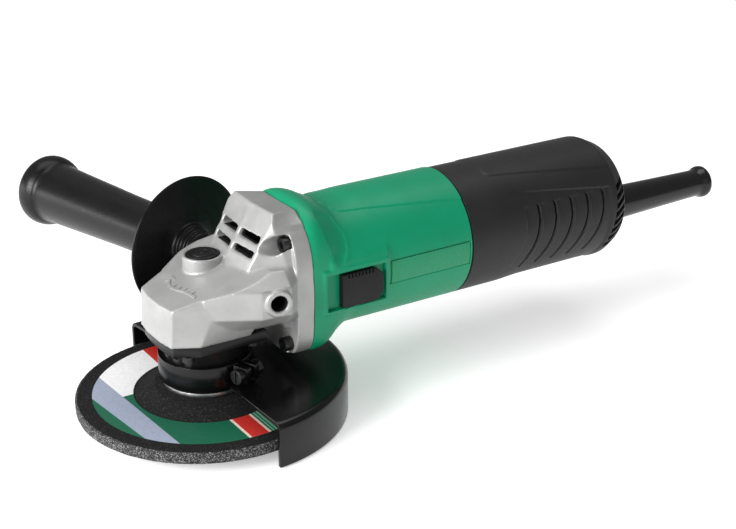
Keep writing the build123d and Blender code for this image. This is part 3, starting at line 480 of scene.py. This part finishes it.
def housing_skin(x, angle):
    radius = section_radius(x, angle, HOUSING)
    from_top = np.degrees(np.abs((angle - math.pi / 2 + math.pi) % (2 * math.pi) - math.pi))

    # raised top panel, whose edge drifts down towards the tail
    edge = np.interp(x, (58.0, 61.0, 66.0, SEAM_X), (0.0, 16.0, 27.0, 42.5))
    radius = radius + 0.55 * smooth_step(edge - from_top, -0.6, 0.6) * smooth_step(x, 58.0, 61.0)

    # finger scoop between the flange and the barrel
    y, z = radius * np.cos(angle), MOTOR_Z + radius * np.sin(angle)
    side = np.abs(from_top)
    front = np.interp(side, (20, 35, 50, 62, 75), (50.0, 49.0, 50.5, 52.5, 54.0))
    rear = np.interp(side, (20, 35, 50, 62, 75), (58.0, 60.0, 62.5, 62.0, 57.0))
    middle = (front + rear) / 2
    depth = np.sqrt(np.clip(1 - ((x - middle) / ((rear - front) / 2 + 0.01)) ** 2, 0, 1))
    scoop = depth * window(side, 34, 66, 9)
    y = y * (1 - 1.1 * scoop / radius)
    z = MOTOR_Z + (z - MOTOR_Z) * (1 - 1.1 * scoop / radius)

    # flat pad with the switch pocket, on the near side
    near = y < 0
    pad = window(x, 47.6, 81.6, 2.0) * window(z, 45.2, 66.0, 1.2) * near
    y = np.where(pad > 0, np.minimum(y, y * (1 - pad) + PAD_Y * pad), y)
    ledge = window(x, 52.0, 82.5, 2.5) * window(z, 67.0, 69.0, 5.0) * near
    y = y - 0.9 * ledge * (1 - pad)
    pocket = window(x, *POCKET_X, 0.35) * window(z, *POCKET_Z, 0.35) * near
    y = np.where(pocket > 0, y * (1 - pocket) + POCKET_Y * pocket, y)

    # sunk panel for the blank plate
    plate = window(x, *PLATE_X, 0.3) * window(z, *PLATE_Z, 0.3) * near
    y = y + 0.85 * plate

    # thin lip at the seam
    lip = 1 - 1.1 * smooth_step(x, SEAM_X - 0.5, SEAM_X) / radius
    y, z = y * lip, MOTOR_Z + (z - MOTOR_Z) * lip
    return x, y, z


def spaced(stops):
    """Places along x, from (x, step) pairs: the step holds up to the next x."""
    out = []
    for (low, step), (high, _) in zip(stops, stops[1:]):
        count = max(1, round((high - low) / step))
        out += [low + (high - low) * k / count for k in range(count)]
    return out + [stops[-1][0]]


housing_x = spaced([(FLANGE_X, 0.45), (84.6, 0.9), (130.8, 0.3), (SEAM_X, 1.0)])
shell_piece("housing_shell", housing_x, 420, housing_skin, 2.6, "housing", green,
            ("motor_housing",))


# ---- tail cover ----
GROOVE_PITCH = 10.6
GROOVE_TOP_X = 175.5
GROOVES = 5
TAIL_RIM_R = BARREL_R - 4.3
TAIL_PROFILE = [(SEAM_X, BARREL_R), (227.0, BARREL_R), (228.2, BARREL_R - 0.35), (233.6, BARREL_R - 2.8),
                (234.6, BARREL_R - 3.4), (TAIL_X, TAIL_RIM_R)]


def tail_skin(x, angle):
    keys = [row[0] for row in TAIL_PROFILE]
    radius = np.interp(x, keys, [row[1] for row in TAIL_PROFILE])
    from_top = np.degrees(np.abs((angle - math.pi / 2 + math.pi) % (2 * math.pi) - math.pi))
    z = MOTOR_Z + radius * np.sin(angle)

    # raised top panel and side panel
    edge = np.interp(x, (150.5, 154.0, 227.0), (10.0, 25.0, 44.6))
    radius = radius + 0.35 * smooth_step(edge - from_top, -0.7, 0.7) * window(x, 156.0, 225.0, 5.0)
    side_edge = np.interp(x, (150.0, 161.0, 221.0), (44.0, 46.6, 62.2))
    drop = smooth_step(from_top - side_edge, -0.8, 0.8) * window(x, 162.0, 221.5, 3.0)
    radius = radius - 0.7 * drop * smooth_step(x, 158.0, 176.0)

    # five curved grooves, each behind a ramp that starts as a scoop
    for k in range(GROOVES):
        top_x = GROOVE_TOP_X + GROOVE_PITCH * k
        line = curve_through([(top_x - 0.6, 73.6), (top_x, 71.0), (top_x - 0.6, 62.0), (top_x - 3.4, 52.0),
                              (top_x - 9.6, 39.0)])
        centre = np.interp(-z, [-p[1] for p in line], [p[0] for p in line])
        behind = x - centre
        tall = window(z, 40.5, 72.6, 1.2)
        ramp = np.clip(1 + behind / 8.4, 0, 1) * (behind < 0)
        upper = smooth_step(z, 58.0, 68.0)
        scoop = 0.9 * ramp - 0.55 * smooth_step(ramp, 0, 0.1)
        radius = radius + scoop * tall * (0.2 + 0.8 * upper)
        radius = radius - 2.4 * np.exp(-((behind - 0.45) / 0.55) ** 2) * tall

    # slanted air slots round the rear edge
    for k in range(8):
        slot_z = 72.5 - 4.4 * k
        start = 228.0 - 0.5 * k
        slant = z - slot_z - 0.4 * (x - 230.0)
        cut = window(slant, -1.0, 1.0, 0.35) * window(x, start, 234.2, 0.4)
        radius = radius - 3.6 * cut
    lip = 1 - smooth_step(x, SEAM_X, SEAM_X + 0.5)
    radius = radius - 1.1 * lip
    return x, radius * np.cos(angle), MOTOR_Z + radius * np.sin(angle)


tail_x = spaced([(SEAM_X, 0.25), (133.6, 1.4), (149.0, 0.6), (162.0, 0.34), (226.0, 0.3), (TAIL_X, 1.0)])
shell_piece("tail_shell", tail_x, 360, tail_skin, 3.6, "housing", tail_black, ("tail_cover",))


def rear_plate():
    """Plate that closes the tail, slightly domed, with the hole for the cord armour."""
    steps, rows = 96, 14
    hole = 9.75
    x_out, x_in = TAIL_X - 0.4, TAIL_X - 2.6
    vertices, faces = [], []
    for x in (x_out, x_in):
        for row in range(rows + 1):
            t = row / rows
            for k in range(steps):
                angle = 2 * math.pi * k / steps
                rim = TAIL_RIM_R + 0.1
                y0, z0 = hole * math.cos(angle), ARMOUR_Z + hole * math.sin(angle)
                y1, z1 = rim * math.cos(angle), MOTOR_Z + rim * math.sin(angle)
                crown = 0.35 * math.sin(math.pi * t) * (x == x_out)
                vertices.append((x + crown, y0 + (y1 - y0) * t, z0 + (z1 - z0) * t))
    ring = steps * (rows + 1)
    for row in range(rows):
        for k in range(steps):
            m = (k + 1) % steps
            a, b = row * steps, (row + 1) * steps
            faces.append((a + k, a + m, b + m, b + k))
            faces.append((ring + a + m, ring + a + k, ring + b + k, ring + b + m))
    for k in range(steps):
        m = (k + 1) % steps
        last = rows * steps
        faces.append((m, k, ring + k, ring + m))
        faces.append((last + k, last + m, ring + last + m, ring + last + k))
    return add_object("tail_rear_plate", vertices, faces, "housing", tail_black)


rear_plate()


# ---- gear head ----
socket_mount = next(m for m in frame["record"]["mounts"] if m["name"] == "side_handle_socket")
near_out = Vector(socket_mount["axis"]).normalized()
near_out = -near_out if near_out.y > 0 else near_out
near_seat = Vector(socket_mount["pos_m"]) / MM + near_out * socket_mount["dims"]["length_mm"] / 2
DUCT_HALF, DUCT_Z = 15.9, (73.6, 89.4)    # the air duct behind the slots
SLOT_WALL_X = 7.9                         # inner side of the leaning front wall at z = 60
FRONT_LEAN = 0.603                        # how far the front wall goes back for each millimetre up
SOCKET_R, SOCKET_RIM = 4.6, 1.2           # reach of the painted shade in the bore, and the bright rim before it


def cast_head():
    """The casting from the CAD solid, remeshed so that every edge has a cast radius."""
    piece = copy_of("gear_head", "gear_head_cast")
    remesh = piece.modifiers.new("remesh", "REMESH")
    remesh.mode = "VOXEL"
    remesh.voxel_size = 0.55 * MM
    relax = piece.modifiers.new("relax", "SMOOTH")
    relax.factor = 0.5
    relax.iterations = 5
    apply_modifiers(piece)
    thin = piece.modifiers.new("thin", "DECIMATE")
    thin.ratio = 0.6
    apply_modifiers(piece)
    finish_piece(piece, "housing", aluminium, ("gear_head",), 60.0)
    paint_shade_inside(piece)


def paint_shade_inside(piece):
    """Painted shade: faces inside the air duct and the handle sockets take a dark material that stands in for the
    shade there.
    """
    piece.data.materials.append(shaded_casting)
    for face in piece.data.polygons:
        x, y, z = face.center / MM
        behind_wall = x > SLOT_WALL_X + (z - 60.0) * FRONT_LEAN
        in_duct = behind_wall and abs(y) < DUCT_HALF and DUCT_Z[0] < z < DUCT_Z[1]
        offset = Vector((x, -abs(y), z)) - near_seat
        depth = -offset.dot(near_out)
        in_socket = depth > SOCKET_RIM and (offset + near_out * depth).length < SOCKET_R
        face.material_index = int(in_duct or in_socket)


cast_head()

DECK_Z, DECK_SLOPE = 65.1, 0.297     # height of the sloping deck at x = 0, and its rise along x


def deck_arrow():
    """Raised curved arrow on the deck, which shows the way that the wheel turns."""
    line = curve_through([(-11.8, 9.3), (-14.4, 5.3), (-14.0, -1.0), (-12.3, -6.4), (-11.3, -15.7)], 6)
    vertices, faces = [], []

    def raised(outline):
        start, count = len(vertices), len(outline)
        for lift in (-0.4, 0.45):
            vertices.extend((x, y, DECK_Z + DECK_SLOPE * x + lift) for x, y in outline)
        faces.append([start + count + k for k in range(count)])
        faces.append([start + k for k in reversed(range(count))])
        for k in range(count):
            m = (k + 1) % count
            faces.append([start + k, start + m, start + count + m, start + count + k])

    half = 0.55
    left, right = [], []
    for k, here in enumerate(line):
        before, after = line[max(k - 1, 0)], line[min(k + 1, len(line) - 1)]
        along = Vector((after[0] - before[0], after[1] - before[1])).normalized()
        left.append((here[0] - along.y * half, here[1] + along.x * half))
        right.append((here[0] + along.y * half, here[1] - along.x * half))
    raised(left + right[::-1])
    raised([(-9.6, 12.3), (-14.0, 10.2), (-10.2, 7.6)])
    for step in (9, 13, 17, 21):
        x, y = line[step]
        raised([(x + 0.6, y - 0.35), (x + 0.6, y + 0.35), (x + 2.4, y + 0.35), (x + 2.4, y - 0.35)])
    arrow = add_object("deck_arrow", vertices, faces, "housing", aluminium)
    weld(arrow, 0.002)


deck_arrow()

# ---- black metal and plastic round the head ----
softened("bearing_cover", "housing", cover_paint, 0.5)
softened("guard_collar", "guard", black_paint, 0.35)
softened("guard_clamp_screw", "guard", black_screw, 0.2)
softened("gear_head_screws", "housing", black_screw, 0.3)
softened("slide_knob", "switch", control_black, 0.25)
softened("inner_flange", "spindle", plated, 0.3)
softened("lock_nut", "wheel", plated, 0.3)


def guard():
    """Pressed guard: one sheet with a rounded rim and rounded cut edges."""
    piece = copy_of("wheel_guard", "guard_sheet")
    mod = piece.modifiers.new("round", "BEVEL")
    mod.width = 0.6 * MM
    mod.segments = 3
    mod.limit_method = "ANGLE"
    mod.angle_limit = math.radians(40)
    apply_modifiers(piece)
    finish_piece(piece, "guard", black_paint, ("wheel_guard",), 30.0)


guard()

# ---- lock button ----
button_low, button_high = reach("lock_button")
button_x, button_y = ((low + high) / 2 for low, high in zip(button_low[:2], button_high[:2]))
button_r = (button_high[0] - button_low[0]) / 2 - 0.3    # clear of the cast edge
base, top = button_low[2], button_high[2]
cap = [(0, base), (button_r, base), (button_r, top - 1.1), (6.9, top - 0.5), (6.6, top - 0.9),
       (5.6, top - 0.9), (5.3, top - 0.3), (3.2, top - 0.1), (2.9, top - 0.6), (1.6, top - 0.6),
       (1.4, top - 0.2), (0, top - 0.15)]
lathe("lock_button_cap", rounded(cap, 0.25), (button_x, button_y, 0), (0, 0, 1), "lock",
      control_black, ("lock_button",), 64)

# ---- cord armour ----
end_x = armour_high[0]
start_x = armour_low[0]
length = end_x - start_x
neck = TAIL_X - start_x
armour = [(3.6, 0.0), (11.2, 0.0), (11.2, neck - 5.2), (9.7, neck - 5.0), (9.7, neck + 2.4),
          (9.2, neck + 20.0), (8.3, neck + 50.0), (7.6, length - 8.0), (7.9, length - 6.0),
          (8.8, length - 4.0), (9.1, length - 2.0), (8.8, length - 0.6), (7.6, length), (4.4, length),
          (3.6, length - 0.8)]
lathe("cord_armour_sleeve", rounded(armour, 0.9, 5), (start_x, 0, ARMOUR_Z), (1, 0, 0), "housing",
      rubber, ("cord_armour",), 72, 40.0)


# ---- side handle ----
joints = {joint["name"]: joint for joint in frame["joints"]}
handle_out = Vector(joints["side_handle_unscrew"]["axis"]).normalized()
far_seat = Vector((near_seat.x, -near_seat.y, near_seat.z))
grip = [(4.0, 0.4), (8.6, 0.4), (8.6, 3.4), (9.8, 3.8), (9.8, 6.6), (11.2, 7.0), (11.2, 10.2), (16.0, 10.9),
        (33.6, 11.0), (34.9, 11.4), (35.0, 12.2), (34.2, 13.0), (15.0, 13.8), (13.4, 15.2), (13.2, 18.0),
        (13.4, 30.0), (14.0, 60.0), (15.0, 90.0), (15.8, 112.0), (16.0, 117.5), (16.5, 119.4), (17.6, 120.7),
        (18.7, 123.0), (19.2, 126.2), (18.9, 129.2), (17.6, 131.4), (14.5, 132.6), (8.0, 133.1), (0, 133.2),
        (0, 25.0), (4.0, 25.0)]
lathe("side_handle_grip", rounded(grip, 1.4, 5), far_seat, handle_out, "side_handle",
      grip_black, ("side_handle",), 128, 40.0)


# ---- grinding wheel ----
def wheel_disc():
    """Disc with a crumbled rim; the rim faces take the paler grit."""
    thick = label_low[2]
    hub = wheel_high[2]
    rise = hub - thick
    bore = 11.8
    profile = [(bore, rise), (22.0, rise), (24.0, rise - 0.6), (29.6, 0.6), (31.6, 0.0)]
    profile += [(31.6 + (WHEEL_R - 1.0 - 31.6) * k / 30, 0.0) for k in range(1, 31)]
    profile += [(WHEEL_R - 0.2, 0.5)]
    profile += [(WHEEL_R - 0.1, 0.5 + (thick - 1.0) * k / 8) for k in range(1, 9)]
    profile += [(WHEEL_R - 1.0, thick - 0.05)]
    profile += [(WHEEL_R - 1.0 - (WHEEL_R - 1.0 - 34.2) * k / 30, thick) for k in range(1, 31)]
    profile += [(33.2, thick + 0.3), (25.4, hub - 0.5), (24.2, hub), (bore, hub)]
    steps = 420
    rng = np.random.default_rng(7)
    vertices, faces = [], []
    for i, (radius, height) in enumerate(profile):
        open_grit = 1.0 if radius > WHEEL_R - 1.1 else (0.35 if radius > label_high[0] else 0.0)
        for k in range(steps):
            angle = 2 * math.pi * k / steps
            chip = -abs(rng.normal(0, 0.12)) * open_grit
            lift = rng.normal(0, 0.03) * (radius > label_high[0] or radius < 34.0)
            lift = -abs(lift) if height > thick - 0.2 else abs(lift)
            worn = radius + chip
            vertices.append((worn * math.cos(angle), worn * math.sin(angle), height + lift))
    rows = len(profile)
    for i in range(rows):
        j = (i + 1) % rows
        for k in range(steps):
            m = (k + 1) % steps
            faces.append((i * steps + k, i * steps + m, j * steps + m, j * steps + k))
    piece = add_object("wheel_disc", vertices, faces, "wheel", grit, ("grinding_wheel",), 50.0)
    piece.data.materials.append(rim_grit)
    for face in piece.data.polygons:
        centre = face.center
        face.material_index = int(math.hypot(centre.x, centre.y) > (WHEEL_R - 1.2) * MM)
    return piece


wheel_disc()


def label_piece(name, limits, material, lift, replaced=()):
    """Flat part of the label: the ring's cells, cut by the half planes in limits, with a thin edge."""
    z = label_low[2] + lift
    vertices, faces = [], []
    for shape in ring_sector(LABEL_IN_R, label_high[0], limits):
        start = len(vertices)
        count = len(shape)
        vertices += [(x, y, z) for x, y in shape] + [(x, y, z - 0.03) for x, y in shape]
        faces.append([start + k for k in range(count)])
        faces.append([start + count + k for k in reversed(range(count))])
        for k in range(count):
            m = (k + 1) % count
            faces.append([start + m, start + k, start + count + k, start + count + m])
    return add_object(name, vertices, faces, "wheel", material, replaced)


def clip(shape, normal, offset):
    """The part of a convex or gently curved outline with normal . point <= offset."""
    out = []
    for a, b in zip(shape, shape[1:] + shape[:1]):
        da = normal[0] * a[0] + normal[1] * a[1] - offset
        db = normal[0] * b[0] + normal[1] * b[1] - offset
        if da <= 0:
            out.append(a)
        if da * db < 0:
            t = da / (da - db)
            out.append((a[0] + (b[0] - a[0]) * t, a[1] + (b[1] - a[1]) * t))
    return out


def ring_sector(inner, outer, limits):
    """Ring cells of three degrees by three rows, each clipped by half planes (normal, offset)."""
    shapes = []
    rows = [inner + (outer - inner) * k / 3 for k in range(4)]
    for r0, r1 in zip(rows, rows[1:]):
        for k in range(120):
            a0, a1 = (math.radians(3 * (k + d)) for d in (0, 1))
            cell = [(r0 * math.cos(a0), r0 * math.sin(a0)), (r1 * math.cos(a0), r1 * math.sin(a0)),
                    (r1 * math.cos(a1), r1 * math.sin(a1)), (r0 * math.cos(a1), r0 * math.sin(a1))]
            for normal, offset in limits:
                if cell:
                    cell = clip(cell, normal, offset)
            if len(cell) > 2:
                shapes.append(cell)
    return shapes


def line_limit(p, q, left=True):
    """Half plane to the left of the line from p to q."""
    dx, dy = q[0] - p[0], q[1] - p[1]
    normal = (dy, -dx) if left else (-dy, dx)
    size = math.hypot(*normal)
    normal = (normal[0] / size, normal[1] / size)
    return normal, normal[0] * p[0] + normal[1] * p[1]


band_right = ((-39.3, 36.5), (-34.8, -40.1))
band_left = ((-50.6, 16.0), (-46.0, -28.0))
label_piece("label_ring", [], label_green, 0.12, ("wheel_label",))
label_piece("label_diagonal_band", [line_limit(*band_right, left=False), line_limit(*band_left),
                                    ((0, 1), 20.0)], label_band, 0.16)
label_piece("label_band_upper", [line_limit(*band_right, left=False), ((0, -1), -20.0), ((1, 0), 0.0)],
            label_band, 0.16)
label_piece("label_white_sector", [line_limit(*band_right), ((0, -1), -12.7), ((1, 0), -8.8)],
            label_white, 0.2)
label_piece("label_red_upper", [((-1, 0), 8.8), ((1, 0), 3.2), ((0, -1), 0.0)], label_red, 0.2)
label_piece("label_cream", [((-1, 0), 6.0), ((1, 0), 5.2), ((0, 1), 0.0)], label_cream, 0.16)
label_piece("label_red_lower", [((-1, 0), 4.7), ((1, 0), 3.8), ((0, 1), 0.0)], label_red, 0.2)
for number, start in enumerate((6.2, 7.9, 9.4)):
    label_piece("label_stripe_%d" % number, [((-1, 0), -start), ((1, 0), start + 0.7), ((0, 1), 0.0)],
                label_stripe, 0.2)


# ---- studio ----
def studio_material(name, color, rough):
    s = Shader(name)
    s.color(s.ramp(s.noise(3, 2), [(0.3, color), (0.7, tuple(min(1, c * 1.01) for c in color))]))
    s.surface.inputs["Roughness"].default_value = rough
    s.surface.inputs["Emission Color"].default_value = color
    s.surface.inputs["Emission Strength"].default_value = 0.45
    return s.material


floor_z = min(cad_low.z, 0) - 0.0005
bpy.ops.mesh.primitive_plane_add(size=14, location=(0.1, 0, floor_z))
floor = bpy.context.object
floor.name = "studio_floor"
floor.data.materials.append(studio_material("studio_floor", (0.9, 0.9, 0.9, 1), 0.9))

world = bpy.data.worlds.new("studio")
bpy.context.scene.world = world
world.use_nodes = True
sky = world.node_tree.nodes["Background"]
sky.inputs["Color"].default_value = (1, 1, 1, 1)
sky.inputs["Strength"].default_value = 0.3


def area_light(name, place, target, size, power):
    data = bpy.data.lights.new(name, "AREA")
    data.shape = "RECTANGLE"
    data.size, data.size_y = size
    data.energy = power
    lamp = bpy.data.objects.new(name, data)
    bpy.context.collection.objects.link(lamp)
    lamp.location = place
    aim = Vector(target) - Vector(place)
    lamp.rotation_euler = aim.to_track_quat("-Z", "Y").to_euler()
    return lamp


area_light("key_left", (-1.1, -0.15, 0.5), (0.05, 0, 0.05), (0.8, 0.6), 23)
area_light("top_soft", (0.25, 0.25, 1.3), (0.1, 0, 0.05), (1.4, 0.8), 8)
area_light("front_fill", (0.2, -1.4, 0.5), (0.1, 0, 0.05), (1.2, 0.8), 1)
area_light("handle_soft", (-1.0, 0.75, 0.16), (0.0, 0.1, 0.06), (0.7, 0.22), 2.5)

camera_data = bpy.data.cameras.new("camera")
camera = bpy.data.objects.new("camera", camera_data)
bpy.context.collection.objects.link(camera)
CAMERA_PLACE = (-0.2745, -0.5694, 0.3357)
CAMERA_YAW, CAMERA_PITCH = math.radians(32.757), math.radians(22.951)
camera.location = CAMERA_PLACE
level = math.cos(CAMERA_PITCH)
looking = Vector((math.sin(CAMERA_YAW) * level, math.cos(CAMERA_YAW) * level, -math.sin(CAMERA_PITCH)))
camera.rotation_euler = looking.to_track_quat("-Z", "Y").to_euler()
camera_data.sensor_width = 36.0
camera_data.lens = 72.06
camera_data.clip_start = 0.01
bpy.context.scene.camera = camera
bpy.context.scene.view_settings.view_transform = "Standard"
